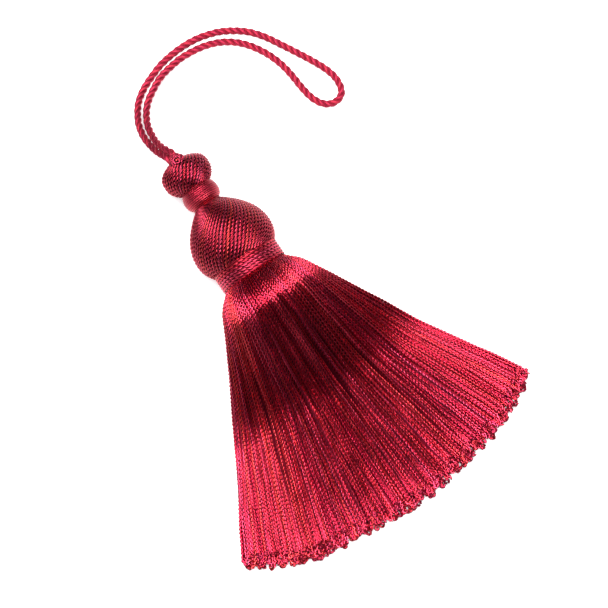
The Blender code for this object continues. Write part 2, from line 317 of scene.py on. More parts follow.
def evenly(path, count):
    """This many points at equal distances along one path."""
    run = run_along(path)
    wanted = np.linspace(0, run[-1], count)
    return np.stack([np.interp(wanted, run, path[:, axis]) for axis in range(3)], axis=1)


def unit(vectors):
    """The vectors, each divided by its length."""
    return vectors / np.linalg.norm(vectors, axis=-1, keepdims=True)


def frames(paths):
    """Unit vectors along each path, up from it and to its side, so that up x side = along."""
    along = unit(np.gradient(paths, axis=-2))
    up = unit(np.array([0.0, 0.0, 1.0]) - along * along[..., 2:3])
    return along, up, np.cross(along, up)


def tubes(paths, turn, profile, thickness, offset, yarn):
    """Closed tubes along paths. At each station the section is the profile, a ring of radii at equal
    angles, turned by the angle turn, scaled by thickness, and moved off the path by offset along the
    direction turn. Both ends close on a point. Gives points, quads and triangles, and then the four
    attributes of the material: yarn, crown (the radius over the largest, which sets the painted shade
    in the waists between plies), fibre and axis."""
    count, stations, _ = paths.shape
    angles, radii = profile
    sides = len(radii)
    along, up, side = frames(paths)
    spin = angles[None, None, :] + turn[:, :, None]
    reach = radii[None, None, :] * thickness[:, :, None]
    across = np.cos(spin) * reach + (offset * np.cos(turn))[:, :, None]
    lift = np.sin(spin) * reach + (offset * np.sin(turn))[:, :, None]
    rings = (
        paths[:, :, None, :] + across[..., None] * up[:, :, None, :] + lift[..., None] * side[:, :, None, :]
    )
    centre = paths + (offset * np.cos(turn))[..., None] * up + (offset * np.sin(turn))[..., None] * side
    points = np.concatenate([rings.reshape(count, -1, 3), centre[:, :1], centre[:, -1:]], axis=1)
    block = stations * sides + 2
    row = np.arange(stations - 1)[:, None] * sides
    ring = np.arange(sides)[None, :]
    after = (ring + 1) % sides
    quads = np.stack([row + ring, row + after, row + sides + after, row + sides + ring], axis=-1)
    first, last = stations * sides, stations * sides + 1
    far = (stations - 1) * sides
    start_cap = np.stack([np.full(sides, first), after[0], ring[0]], axis=-1)
    end_cap = np.stack([np.full(sides, last), far + ring[0], far + after[0]], axis=-1)
    shift = np.arange(count)[:, None, None] * block
    quads = (quads.reshape(-1, 4)[None] + shift).reshape(-1, 4)
    triangles = (np.concatenate([start_cap, end_cap])[None] + shift).reshape(-1, 3)
    height = np.broadcast_to(radii / radii.max(), rings.shape[:3]).reshape(count, -1)
    lengthwise = (run_along(paths) / FIBRE_LENGTH)[:, :, None]
    thread = np.stack(
        [
            np.broadcast_to(lengthwise, rings.shape[:3]) + STREAK_SHIFT * yarn[:, None, None],
            np.broadcast_to(np.cos(angles), rings.shape[:3]),
            np.broadcast_to(np.sin(angles), rings.shape[:3]),
        ],
        axis=-1,
    ).reshape(count, -1, 3)
    ends = np.zeros((count, 2))
    crown = np.concatenate([height, ends + END_CROWN], axis=1)
    fibre = np.concatenate([thread, np.zeros((count, 2, 3))], axis=1)
    shade = np.repeat(yarn[:, None], block, axis=1)
    axis = np.concatenate([np.repeat(along, sides, axis=1), along[:, :1], along[:, -1:]], axis=1)
    return (
        points.reshape(-1, 3),
        quads,
        triangles,
        shade.ravel(),
        crown.ravel(),
        fibre.reshape(-1, 3),
        axis.reshape(-1, 3),
    )


# To the eye the cord is a dull crimson with a faint bloom: its gloss is broken up by the twist, and fine
# # wine-red lines of painted shade wind round it where its plies meet.
cord_look = silk(
    "twisted_silk_cord",
    ("#C03044", "#AC2440", "#B42C48"),
    # painted shade in the hollows where the plies meet
    "#6A0A1E",
    roughness=0.6,
    sheen=0.2,
    streak_scale=5.0,
    relief=0.00006,
    straight=0.3,
    aligned=0.6,
    lustre=0.9,
)
route = np.vstack([KNOB_ENDS[:1], CORD_ROUTE, KNOB_ENDS[1:]]) + np.array([0.0, TOP_Y, 0.0])
stations = int(CORD_LENGTH / CORD_LAY * CORD_STEPS)
centre_line = evenly(through(route, 12), stations)
run = run_along(centre_line)
ply_radius = CORD_DIAMETER / 2 / (1 + 2 / math.sqrt(3))
ply_angles = np.arange(PLY_SIDES) * 2 * np.pi / PLY_SIDES
round_ply = (ply_angles, np.ones(PLY_SIDES))
paths = np.repeat(centre_line[None], CORD_PLIES, axis=0)
turn = 2 * np.pi * (run[None] / CORD_LAY + np.arange(CORD_PLIES)[:, None] / CORD_PLIES)
thickness = np.full(turn.shape, ply_radius * PLY_SWELL)
ply_tones = np.array([0.2, 0.5, 0.8])
points, quads, triangles, yarn, _, fibre, axis = tubes(
    paths, turn, round_ply, thickness, ply_radius, ply_tones
)
points[:, 2] = np.maximum(points[:, 2], TABLE_CLEARANCE)
# painted shade: each ply is darker on its side towards the cord's middle, where the plies meet
outside = 0.5 + 0.5 * np.cos(ply_angles)
ply_crown = np.tile(CROWN_INSIDE + (1 - CROWN_INSIDE) * outside, stations)
crown = np.tile(np.concatenate([ply_crown, [END_CROWN, END_CROWN]]), CORD_PLIES)
hanging_loop = add_surface(
    "hanging_loop_cord", points, quads, triangles, cord_look, yarn, crown, fibre, axis
)
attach(hanging_loop, "root")
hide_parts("hanging_loop")


# Covered mould: the head is an egg of wood or paper under fifty-two two-ply yarns that lie side by side
# from the neck to the collar, leaning to the right. Their plies are nearly in step, so that the hollows
# between them make a mesh.
HEAD_RADIUS = 0.01565
FLAT_SPOT_HALF_WIDTH = 0.0035
AXIS_Z = math.sqrt(HEAD_RADIUS**2 - FLAT_SPOT_HALF_WIDTH**2)
# along_start, along_peak, along_end, radius_start, radius_peak, radius_end, power_start, power_end
HEAD = (0.0208, 0.0378, 0.0448, 0.0050, HEAD_RADIUS, 0.0130, 2.15, 2.15)
HEAD_YARNS = 52
HEAD_LEAN = math.radians(42)
YARN_LAY = 0.00348  # one whole turn of the two plies
YARN_SHIFT = 0.00039  # each yarn's plies lie this much further down than its left neighbour's
YARN_SCATTER = 0.45  # radians that a yarn's plies are out of step by, as a rule
YARN_SAMPLES = 8  # across one yarn
YARN_STEPS = 13  # in one turn of the plies
YARN_THICKEST = 0.0012  # the relief grows with a yarn's width, up to this
PLY_MIDDLE = 0.25  # distance of a ply's middle from the yarn's, in yarn diameters
PLY_HALF_WIDTH = 0.27
DEEPEST_HOLLOW = -0.2  # height of the hollows' floor, from the yarn's middle


def swelling(piece):
    """Distance along and radius down the side of a turned piece, through its peak: from the peak to each
    end, the radius falls by its whole fall times a power of the share of the way."""
    start, peak, end, radius_start, radius_peak, radius_end, power_start, power_end = piece
    place = np.linspace(0, 1, 200)
    along_up = start + (peak - start) * place
    radius_up = radius_peak - (radius_peak - radius_start) * (1 - place) ** power_start
    along_down = peak + (end - peak) * place[1:]
    radius_down = radius_peak - (radius_peak - radius_end) * place[1:] ** power_end
    along = np.concatenate([along_up, along_down])
    return np.stack([along, np.concatenate([radius_up, radius_down])], axis=1)


def resampled(side, rows):
    """A profile of (along, radius) at equal distances down its side, with its outward normals."""
    run = run_along(side)
    wanted = np.linspace(0, run[-1], rows)
    even = np.stack([np.interp(wanted, run, side[:, axis]) for axis in range(2)], axis=1)
    slope = unit(np.gradient(even, axis=0))
    return wanted, even, np.stack([-slope[:, 1], slope[:, 0]], axis=1)


def plied(across, turn):
    """Height of a two-ply yarn of diameter 1, seen from outside, at the place across it (-0.5 to 0.5):
    the higher of two arches about half as wide as it, whose centres turn about its middle. Also how near
    the place is to the middle of its own ply, from 0 in the hollow to 1."""
    arches, nearness = [], []
    for ply in (0, np.pi):
        middle = PLY_MIDDLE * np.cos(turn + ply)
        near = 1 - ((across - middle) / PLY_HALF_WIDTH) ** 2
        arches.append(PLY_MIDDLE * np.sin(turn + ply) + 0.25 * near)
        nearness.append(near)
    height = np.maximum(arches[0], arches[1])
    near = np.where(arches[0] > arches[1], nearness[0], nearness[1])
    return np.maximum(height, DEEPEST_HOLLOW), np.clip(near, 0, 1)


def turned_grid(name, side, rim, height, scale, yarn, crown, fibre, look, down=False):
    """A closed surface turned about the tassel's axis: side is the profile with its normals, rim the
    angles round it, and height times scale the relief along the normals. It closes on the axis at both
    ends. The fibres run down the piece if down is true, else round it."""
    even, normal = side
    out = even[:, None, :] + normal[:, None, :] * (height * scale)[..., None]
    along, radius = out[..., 0], out[..., 1]
    level = np.maximum(AXIS_Z + radius * np.sin(rim), TABLE_CLEARANCE)
    points = np.stack([radius * np.cos(rim), TOP_Y - along, level], axis=-1)
    rows, columns = along.shape
    poles = np.array([[0, TOP_Y - even[0, 0], AXIS_Z], [0, TOP_Y - even[-1, 0], AXIS_Z]])
    row = np.arange(rows - 1)[:, None] * columns
    ring = np.arange(columns)[None, :]
    after = (ring + 1) % columns
    quads = np.stack([row + ring, row + columns + ring, row + columns + after, row + after], axis=-1)
    first, last = rows * columns, rows * columns + 1
    far = (rows - 1) * columns
    start_cap = np.stack([np.full(columns, first), ring[0], after[0]], axis=-1)
    end_cap = np.stack([np.full(columns, last), far + after[0], far + ring[0]], axis=-1)
    both = np.zeros(2)
    rim = np.broadcast_to(rim, along.shape)
    if down:
        backwards = np.broadcast_to(-even[:, :1], rim.shape)
        base = np.stack([even[:, 1:] * np.cos(rim), backwards, even[:, 1:] * np.sin(rim)], axis=-1)
        axis = unit(np.gradient(base, axis=0))
    else:
        axis = np.stack([-np.sin(rim), np.zeros(rim.shape), np.cos(rim)], axis=-1)
    return add_surface(
        name,
        np.concatenate([points.reshape(-1, 3), poles]),
        quads.reshape(-1, 4),
        np.concatenate([start_cap, end_cap]),
        look,
        np.concatenate([yarn.ravel(), both]),
        np.concatenate([crown.ravel(), both]),
        np.concatenate([fibre.reshape(-1, 3), np.zeros((2, 3))]),
        np.concatenate([axis.reshape(-1, 3), np.eye(3)[:2]]),
    )


def covered(name, piece, yarns, lean, seed, look):
    """A turned piece under yarns laid from end to end: yarn k leans by a fixed angle from the axis, so its
    angle round the piece grows by tan(lean) / radius down the side, and its plies show as relief."""
    side = swelling(piece)
    length = run_along(side)[-1]
    rows = int(length / math.cos(lean) / YARN_LAY * YARN_STEPS)
    run, even, normal = resampled(side, rows)
    slip = math.tan(lean) / even[:, 1]
    drift = np.concatenate([[0], np.cumsum((slip[1:] + slip[:-1]) / 2 * np.diff(run))])
    column = np.arange(yarns * YARN_SAMPLES)
    number = column // YARN_SAMPLES
    across = (column % YARN_SAMPLES + 0.5) / YARN_SAMPLES - 0.5
    rng = np.random.default_rng(seed)
    scatter = rng.normal(0, YARN_SCATTER, yarns)
    phase = (2 * np.pi * YARN_SHIFT / YARN_LAY * np.arange(yarns) + scatter)[number]
    tone = rng.uniform(0, 1, yarns)[number]
    rim = 2 * np.pi * (column + 0.5)[None, :] / len(column) + drift[:, None]
    turn = 2 * np.pi * run[:, None] / math.cos(lean) / YARN_LAY + phase[None, :]
    height, near = plied(-across[None, :], turn)
    width = 2 * np.pi * even[:, 1] / yarns
    shape = (rows, len(column))
    fibre = np.stack(
        [
            np.broadcast_to((run / FIBRE_LENGTH)[:, None] + STREAK_SHIFT * tone[None, :], shape),
            np.broadcast_to(2 * across[None, :] + np.sin(turn), shape),
            height,
        ],
        axis=-1,
    )
    made = turned_grid(
        name,
        (even, normal),
        rim,
        height - 0.5,
        np.minimum(width, YARN_THICKEST)[:, None],
        np.broadcast_to(tone, shape),
        # the crown: painted shade in the hollows between plies
        near,
        fibre,
        look,
        down=True,
    )
    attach(made, "root")
    return made


# To the eye the covering is deep crimson with a broad soft gloss on its upper side, cut into a mesh of
# # bright plies by hollows that are nearly black: they are deep, and shade is painted into them as well.
DEEP_CRIMSONS = ("#CC3A3C", "#A81C34", "#C02C44", "#B4304E")
yarn_look = silk(
    "spun_silk_yarn",
    DEEP_CRIMSONS,
    # painted shade in the hollows
    "#2A040E",
    roughness=0.42,
    sheen=0.05,
    streak_scale=3.0,
    relief=0.00005,
    straight=0.35,
    aligned=0.6,
    lustre=0.92,
)
head = covered("covered_head", HEAD, HEAD_YARNS, HEAD_LEAN, 3, yarn_look)
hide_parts("main_head")


# Top bun: a small mould covered in the same way, with fewer yarns.
BUN = (0.0017, 0.0086, 0.0138, 0.0040, 0.00945, 0.0062, 3.7, 2.0)
BUN_YARNS = 32
bun = covered("covered_bun", BUN, BUN_YARNS, HEAD_LEAN, 4, yarn_look)
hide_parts("top_bun")


# Neck ring: untwisted silk floss wound round the tie between bun and head, so it shines like satin. The
# turns of floss are too fine to show one by one, so they are drawn coarser and fewer.
NECK_RING = (0.0137, 0.0173, 0.0210, 0.0059, 0.00700, 0.0050, 2.5, 2.5)
FLOSS_PITCH = 0.00075
FLOSS_RELIEF = 0.00013
RING_ROWS = 130
RING_COLUMNS = 120

# To the eye the floss is a smooth band of crimson with one bright soft gleam across it; shade is painted
# into the grooves between its turns.
satin_look = silk(
    "wound_silk_floss",
    ("#D43A4C", "#A01830"),
    # painted shade in the grooves
    "#600818",
    roughness=0.32,
    sheen=0.03,
    streak_scale=4.0,
    relief=0.0001,
    straight=0.3,
    aligned=0.9,
    lustre=0.9,
)
run, even, normal = resampled(swelling(NECK_RING), RING_ROWS)
rim = 2 * np.pi * np.arange(RING_COLUMNS)[None, :] / RING_COLUMNS
# the turns wander a little and lie 0 in the grooves to 1 on the strands, each strand with its own tone
wander = 0.35 * np.sin(3 * rim + 5 * run[:, None] / 0.001) + 0.25 * np.sin(5 * rim + 2.0)
floss = 2 * np.pi * run[:, None] / FLOSS_PITCH + wander
lay = 0.5 + 0.5 * np.cos(floss)
strand = np.floor(floss / (2 * np.pi) + 0.5)
neck = turned_grid(
    "neck_floss",
    (even, normal),
    np.broadcast_to(rim, lay.shape),
    lay - 1.0,
    FLOSS_RELIEF,
    0.5 + 0.5 * np.sin(strand * 12.9898),
    # the crown: painted shade in the grooves between the turns
    0.3 + 0.7 * lay,
    np.stack([np.broadcast_to(2 * rim, lay.shape), floss / 2, strand * 3.1], axis=-1),
    satin_look,
    down=True,
)
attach(neck, "root")
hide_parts("neck_ring")


# Base collar: six turns of the same twisted yarn wound round the roots of the skirt. It begins a little
# inside the head, so that no light passes between them.
COLLAR_START = HEAD[2] - 0.0002
COLLAR_END = 0.0511
COLLAR_RADIUS = 0.0130
COLLAR_TURNS = 6
COLLAR_LAY = 0.00462  # one whole turn of the two plies
COLLAR_COLUMNS = 272
WOUND_SAMPLES = 9  # across one turn of the yarn
WOUND_THICKEST = 0.0011
WOUND_WANDER = 0.8  # radians that the plies drift by from lap to lap, as a rule


def wound(name, side, turns, lay, samples, columns, seed, look):
    """A turned piece under one yarn wound round it in a spiral: turn k at the angle a lies where the run
    down the side is (k + a / full circle) pitches, and its plies show as relief."""
    length = run_along(side)[-1]
    pitch = length / turns
    run, even, normal = resampled(side, turns * samples + 1)
    rim = 2 * np.pi * np.arange(columns)[None, :] / columns
    share = rim / (2 * np.pi)
    place = run[:, None] / pitch - share
    number = np.floor(place)
    across = place - number - 0.5
    travelled = number + share + 0.5
    way_round = 2 * np.pi * (even[1:, 1] + even[:-1, 1]) / 2
    laps = np.concatenate([[0], np.cumsum(way_round * np.diff(run) / pitch)])
    distance = np.interp(travelled * pitch, run, laps)
    rng = np.random.default_rng(seed)
    wander = rng.normal(0, WOUND_WANDER, turns + 4)
    lap = (number + 1).astype(int)
    turn = 2 * np.pi * distance / lay + wander[lap] * (1 - share) + wander[lap + 1] * share
    height, near = plied(across, turn)
    tone = rng.uniform(0, 1, turns + 3)[lap]
    fibre = np.stack([distance / FIBRE_LENGTH, 2 * across + np.sin(turn), height], axis=-1)
    made = turned_grid(
        name,
        (even, normal),
        np.broadcast_to(rim, height.shape),
        height - 0.5,
        min(pitch, WOUND_THICKEST),
        tone,
        # the crown: painted shade in the hollows between plies
        near,
        fibre,
        look,
    )
    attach(made, "root")
    return made


# To the eye the collar is lighter and redder than the head, with a flat gloss and thin grooves, painted
# wine-red as shade.
CRIMSONS = ("#EA4448", "#C02040", "#DE384C", "#D23C5E")
collar_look = silk(
    "wound_silk_yarn",
    CRIMSONS,
    # painted shade in the grooves
    "#5C0818",
    roughness=0.48,
    sheen=0.02,
    streak_scale=3.0,
    relief=0.00005,
    straight=0.35,
    aligned=0.5,
    lustre=0.9,
)
collar_side = np.array([(COLLAR_START, COLLAR_RADIUS), (COLLAR_END, COLLAR_RADIUS)])
collar = wound(
    "wound_collar", collar_side, COLLAR_TURNS, COLLAR_LAY, WOUND_SAMPLES, COLLAR_COLUMNS, 5, collar_look
)
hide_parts("base_collar")


# Loop knob: yarn coiled about an upright axis where the cord comes out, in the bun's upper shoulder. It is
# wound about the tassel's axis first, from its tip down a bluntly pointed dome, and then turned upright.
KNOB_X = -0.0004
KNOB_ALONG = 0.0029
KNOB_TOP = 0.0237
KNOB_HEIGHT = 0.0054
KNOB_TIP_RADIUS = 0.0001
KNOB_SWELL = 0.0032  # from the tip's radius to the dome's
KNOB_TURNS = 6
KNOB_LAY = 0.0040
KNOB_COLUMNS = 72
bow = 0.5 * np.pi * np.linspace(0, 1, 60)
knob_side = np.stack(
    [
        KNOB_HEIGHT - KNOB_HEIGHT * np.cos(bow) ** 0.6,
        KNOB_TIP_RADIUS + KNOB_SWELL * np.sin(bow) ** 0.9,
    ],
    axis=1,
)
knob = wound("coiled_knob", knob_side, KNOB_TURNS, KNOB_LAY, WOUND_SAMPLES, KNOB_COLUMNS, 6, yarn_look)
upright = Matrix.Translation((KNOB_X, TOP_Y - KNOB_ALONG, KNOB_TOP)) @ Matrix.Rotation(math.pi / 2, 4, "X")
knob.data.transform(upright @ Matrix.Translation((0, -TOP_Y, -AXIS_Z)))
# the attribute doesn't turn with the mesh, so y and z change places in it, one of them with its sign
fibres = np.empty(len(knob.data.vertices) * 3, dtype=np.float32)
knob.data.attributes["axis"].data.foreach_get("vector", fibres)
turned_fibres = fibres.reshape(-1, 3)[:, [0, 2, 1]] * np.array([1, -1, 1], dtype=np.float32)
knob.data.attributes["axis"].data.foreach_set("vector", turned_fibres.ravel())
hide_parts("loop_knob")


# Skirt: two-ply twisted silk cords, their roots bound inside the collar. They swell out over its mouth
# and fan out on the table. The upper ones lie in three layers and the lower ones in two.
BACKING_DEPTH = 0.0025  # how far behind the collar's mouth the cords begin
OUTER_RING_RADIUS = 0.0106  # of the outermost cords there
FAN_CENTRE = 0.0229  # the cords' lines meet this far behind the collar's mouth
FAN_ANGLE = math.radians(30.4)  # from the middle to either side
UNDER_HEM_SHORTER = 0.0015  # the lower cords end this much sooner
# share of FAN_ANGLE, distance of the hem from the fan's centre
HEM_LINE = np.array(
    [
        (-1.00, 0.1225),
        (-0.85, 0.1238),
        (-0.55, 0.1244),
        (-0.33, 0.1222),
        (0.00, 0.1230),
        (0.33, 0.1228),
        (0.65, 0.1240),
        (0.90, 0.1238),
        (1.00, 0.1229),
    ]
)
HEM_RAGGED = (-0.0010, 0.0009)  # added to a cord's reach
FLOOR_HEIGHT = 0.00071  # of the middle of a cord that lies on the table
LAYER_GAP = 0.0018  # between upper and lower cords at the hem's sides
RING_PITCH = 0.0009  # from one layer of cords to the next
# distance from the collar's mouth, half the width, height of the top, of the sides and of the
# underside, and how flat the fan is (0 round, 1 flat); past the last row each cord falls to its hem
SKIRT = np.array(
    [
        (
            -BACKING_DEPTH,
            OUTER_RING_RADIUS,
            AXIS_Z + OUTER_RING_RADIUS,
            AXIS_Z,
            AXIS_Z - OUTER_RING_RADIUS,
            0.0,
        ),
        (0.0000, 0.0117, 0.0267, 0.0152, 0.0036, 0.02),
        (0.0045, 0.0169, 0.0288, 0.0146, 0.0014, 0.22),
        (0.0105, 0.0201, 0.0300, 0.0128, 0.0009, 0.43),
        (0.0150, 0.0226, 0.0293, 0.0113, 0.0008, 0.53),
        (0.0190, 0.0248, 0.0275, 0.0099, FLOOR_HEIGHT, 0.63),
        (0.0230, 0.0270, 0.0249, 0.0085, FLOOR_HEIGHT, 0.72),
        (0.0350, 0.0339, 0.0167, 0.0046, FLOOR_HEIGHT, 0.87),
        (0.0450, 0.0396, 0.0112, 0.0020, FLOOR_HEIGHT, 1.00),
    ]
)
HEM_LAYERS = (0.0032, 0.0026, 0.0021)  # heights of the upper cords at the hem
EARLY_BUNCHES = 0.04  # share by which bunches of cords come down sooner or later than SKIRT says
EARLY_CORDS = 0.06  # the same for single cords
EARLIEST = 1.4  # of a single cord, over EARLY_CORDS
DROOP = (1.55, 0.3)  # mean and spread of the power by which single cords fall to the hem
DROOP_LIMITS = (1.0, 2.2)
BUNCH_SHIFT = 0.0002  # sideways
BUNCH_SEED = 40  # the same for all layers, so that they bunch together
SKIRT_DIAMETER = 0.00118
SKIRT_LAY = 0.0029  # one whole turn of the two plies
UNEVEN_LAY = (0.88, 1.12)  # a cord's twist over the usual
UNEVEN_THICKNESS = (0.9, 1.12)
LONGEST_CORD = 0.108  # for the number of stations
LOOSE_END = 0.0045  # the last stretch of a cord, which curls
KINK_LENGTH = 0.0034  # of the small waves in it
SWAY_WAVES = ((1.0, 0.052), (0.5, 0.023), (0.22, 0.011))  # share of the sway, length of the wave
BOB = 0.55  # sway up and down over that to the sides
# Sections of the two plies together, as angles and radii: the cords on top have the deepest waist between
# their plies, those under them a shallow one, those against the table and the hem's knots hardly any.
# a section's radius over its largest is its crown, which paints shade into the waist between the plies
PEANUT = (
    np.radians([0, 38, 90, 142, 180, 218, 270, 322]),
    np.array([1.0, 0.79, 0.24, 0.79, 1.0, 0.79, 0.24, 0.79]),
)
LENTIL = (np.radians([0, 50, 130, 180, 230, 310]), np.array([1.0, 0.62, 0.62, 1.0, 0.62, 0.62]))
BLADE = (np.radians([0, 90, 180, 270]), np.array([1.0, 0.5, 1.0, 0.5]))
KNOT = (np.radians([0, 60, 120, 180, 240, 300]), np.array([1.0, 0.85, 0.85, 1.0, 0.85, 0.85]))


def bunching(angle, rng, waves):
    """A smooth random value for each angle, the sum of sines of these numbers of waves round half the
    skirt, so that neighbouring cords keep together in bunches. It lies mostly between -1 and 1."""
    value = np.zeros_like(angle)
    for number in waves:
        value += np.sin(2 * angle * number * rng.uniform(0.8, 1.2) + rng.uniform(0, 2 * np.pi))
    return value / math.sqrt(len(waves))


def smoothed(paths, window):
    """Each path averaged over a window of stations. Past its ends it is carried on by its own mirror
    image through them, which keeps the ends in place."""
    half = window // 2
    lead = 2 * paths[:, :1] - paths[:, half:0:-1]
    tail = 2 * paths[:, -1:] - paths[:, -2 : -half - 2 : -1]
    padded = np.concatenate([lead, paths, tail], axis=1)
    total = np.cumsum(np.concatenate([np.zeros_like(padded[:, :1]), padded], axis=1), axis=1)
    return (total[:, 2 * half + 1 :] - total[:, : -2 * half - 1]) / (2 * half + 1)


def skirt_paths(angle, ring, depth, hem_height, stations, rng):
    """Centre lines of skirt cords. A cord starts in a ring of the bundle at its angle, keeps its place in
    the round while the skirt is round and its share of the fan where it is flat, and ends at the hem.
    Past the last row of SKIRT it has fallen by 1 - (1 - share of the way) to the power of its droop."""
    upper = angle < np.pi
    above = np.where(upper, angle, 2 * np.pi - angle)
    direction = FAN_ANGLE * (1 - 2 * above / np.pi)
    reach = np.interp(direction / FAN_ANGLE, HEM_LINE[:, 0], HEM_LINE[:, 1])
    reach = reach - np.where(upper, 0, UNDER_HEM_SHORTER) + rng.uniform(*HEM_RAGGED, len(angle))
    hem = reach * np.cos(direction) - FAN_CENTRE
    share = np.linspace(0, 1, stations)
    distance = -BACKING_DEPTH + (hem[:, None] + BACKING_DEPTH) * share
    half_width, side, under, flat = [
        np.interp(distance, SKIRT[:, 0], SKIRT[:, place]) for place in (1, 3, 4, 5)
    ]
    bunch = np.random.default_rng(BUNCH_SEED)
    scatter = rng.normal(0, 1, len(angle)).clip(-EARLIEST, EARLIEST)
    early = EARLY_BUNCHES * bunching(angle, bunch, (7, 13, 23, 37, 47)) + EARLY_CORDS * scatter
    sooner = np.where(distance > 0, distance * (1 + early[:, None]), distance)
    top = np.interp(sooner, SKIRT[:, 0], SKIRT[:, 2])
    done = np.maximum(0, distance) / hem[:, None]
    angle, direction, ring, depth = angle[:, None], direction[:, None], ring[:, None], depth[:, None]
    spread = (1 - flat) * np.cos(angle) + flat * np.tan(direction) / np.tan(FAN_ANGLE)
    layers = (4 * RING_PITCH * (1 - done) + LAYER_GAP) * np.sin(flat * np.pi / 2)
    middle = np.maximum(side, FLOOR_HEIGHT + layers / 2)
    edge = middle + np.where(upper[:, None], 1, -1) * layers / 2
    crest = np.where(upper[:, None], top, under)
    lift = np.abs(np.sin(angle))
    height = edge + (crest - edge) * lift
    down = np.where(upper, np.pi / 2, 3 * np.pi / 2)[:, None]
    outward = down + (angle - down) * (1 - flat)
    inwards = ring * depth * (1 - done)
    x = half_width * spread - np.cos(outward) * inwards
    z = height - np.sin(outward) * inwards
    last = SKIRT[-1, 0]
    flare = np.clip((distance - last) / (hem[:, None] - last), 0, 1)
    cords, station = np.arange(len(x)), np.argmax(distance > last, axis=1) - 1
    turn_x, turn_z = x[cords, station][:, None], z[cords, station][:, None]
    end_x = reach[:, None] * np.sin(direction)
    x = np.where(distance > last, turn_x + (end_x - turn_x) * flare, x)
    droop = rng.normal(*DROOP, (len(x), 1)).clip(*DROOP_LIMITS)
    fallen = turn_z + (hem_height[:, None] - turn_z) * (1 - (1 - flare) ** droop)
    z = np.where(distance > last, fallen, z)
    bunched = bunching(angle[:, 0], bunch, (7, 13, 19, 29))[:, None]
    x = x + BUNCH_SHIFT * bunched * np.clip(distance / 0.03, 0, 1)
    paths = np.stack([x, TOP_Y - COLLAR_END - distance, z], axis=-1)
    # the bends between the rows of SKIRT are rounded off, the more so past the crest
    near = smoothed(paths, int(stations * 0.05) | 1)
    far = smoothed(paths, int(stations * 0.16) | 1)
    return near + (far - near) * np.clip((distance - 0.012) / 0.012, 0, 1)[..., None]


def ruffled(paths, rng, sway, curl):
    """Each path swayed to the sides, and up and down, by three slow waves that grow towards the hem, and
    its last few millimetres curled to a side, as cut and knotted ends lie."""
    run = run_along(paths)
    length = run[:, -1:]
    _, up, side = frames(paths)
    done = np.clip(run / length, 0, 1)
    count = len(paths)
    wave = np.zeros_like(run)
    bob = np.zeros_like(run)
    for size, span in SWAY_WAVES:
        for total in (wave, bob):
            phase, strength = rng.uniform(0, 1, (count, 1)), rng.uniform(0.4, 1, (count, 1))
            total += size * np.sin(2 * np.pi * (run / span + phase)) * strength
    grow = np.clip(run / 0.012, 0, 1) * (0.35 + 0.65 * done)
    left = length - run
    loose = np.clip(1 - left / LOOSE_END, 0, 1)
    hook = rng.normal(0, 1, (count, 1)) * curl
    kink = np.sin(2 * np.pi * (left / KINK_LENGTH + rng.uniform(0, 1, (count, 1)))) * curl * 0.6
    sideways = sway * wave * grow + hook * loose**2 + kink * loose
    upwards = BOB * sway * bob * grow + np.abs(rng.normal(0, 1, (count, 1))) * 0.5 * curl * loose**2
    moved = paths + side * sideways[..., None] + up * upwards[..., None]
    moved[..., 2] = np.maximum(moved[..., 2], FLOOR_HEIGHT)
    return moved


def skirt_cords(name, angle, ring, depth, hem_height, steps, profile, seed, sway, curl):
    """Plied cords of the skirt, with this many stations in one turn of the plies. They are squeezed thin
    at their roots, and swell a little before their rounded ends."""
    rng = np.random.default_rng(seed)
    stations = int(LONGEST_CORD / SKIRT_LAY * steps)
    paths = ruffled(skirt_paths(angle, ring, depth, hem_height, stations, rng), rng, sway, curl)
    run = run_along(paths)
    tone = rng.uniform(0, 1, len(angle))
    phase = rng.uniform(0, np.pi, (len(angle), 1))
    turn = 2 * np.pi * run / SKIRT_LAY * rng.uniform(*UNEVEN_LAY, (len(angle), 1)) + phase
    left = run[:, -1:] - run
    squeeze = np.interp(run, [0, 0.004, 0.014], [0.70, 0.80, 1.0])
    swell = 1 + 0.25 * np.exp(-(((left - 0.0015) / 0.0013) ** 2))
    rounded = np.sqrt(np.clip(1 - (1 - left / 0.0006).clip(0) ** 2, 0.05, 1))
    uneven = rng.uniform(*UNEVEN_THICKNESS, (len(angle), 1))
    thickness = SKIRT_DIAMETER / 2 * squeeze * swell * rounded * uneven
    grown = tubes(paths, turn, profile, thickness, 0.0, tone)
    made = add_surface(name, *grown[:3], skirt_look, *grown[3:])
    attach(made, "root")
    return made


# To the eye the skirt shines along its cords: bright crimson where they lie level under the light, at the
# # crest and near the hem, and nearly black where they slope away from it, with single cords standing out.
# # The waists between their plies are darkened with painted shade.
skirt_look = silk(
    "twisted_skirt_cord",
    CRIMSONS,
    # painted shade in the waists between plies
    "#1A0414",
    roughness=0.29,
    sheen=0.0,
    streak_scale=2.5,
    relief=0.00004,
    straight=0.85,
    aligned=0.80,
    lustre=0.97,
)
UPPER_CORDS = 150
LOWER_CORDS = 112
upper_angle = np.pi * (np.arange(UPPER_CORDS) + 0.5) / UPPER_CORDS
upper_ring = np.arange(UPPER_CORDS) % 3
pieces = []
for layer, (steps, profile) in enumerate(((6.6, PEANUT), (7, LENTIL), (7, LENTIL))):
    mine = upper_ring == layer
    pieces.append(
        skirt_cords(
            f"skirt_upper_cords_{layer + 1}",
            upper_angle[mine],
            upper_ring[mine].astype(float),
            np.full(mine.sum(), RING_PITCH),
            np.full(mine.sum(), HEM_LAYERS[layer]),
            steps,
            profile,
            seed=20 + layer,
            sway=0.0003,
            curl=0.0008,
        )
    )
lower_angle = np.pi + np.pi * (np.arange(LOWER_CORDS) + 0.5) / LOWER_CORDS
lower_ring = np.arange(LOWER_CORDS) % 2
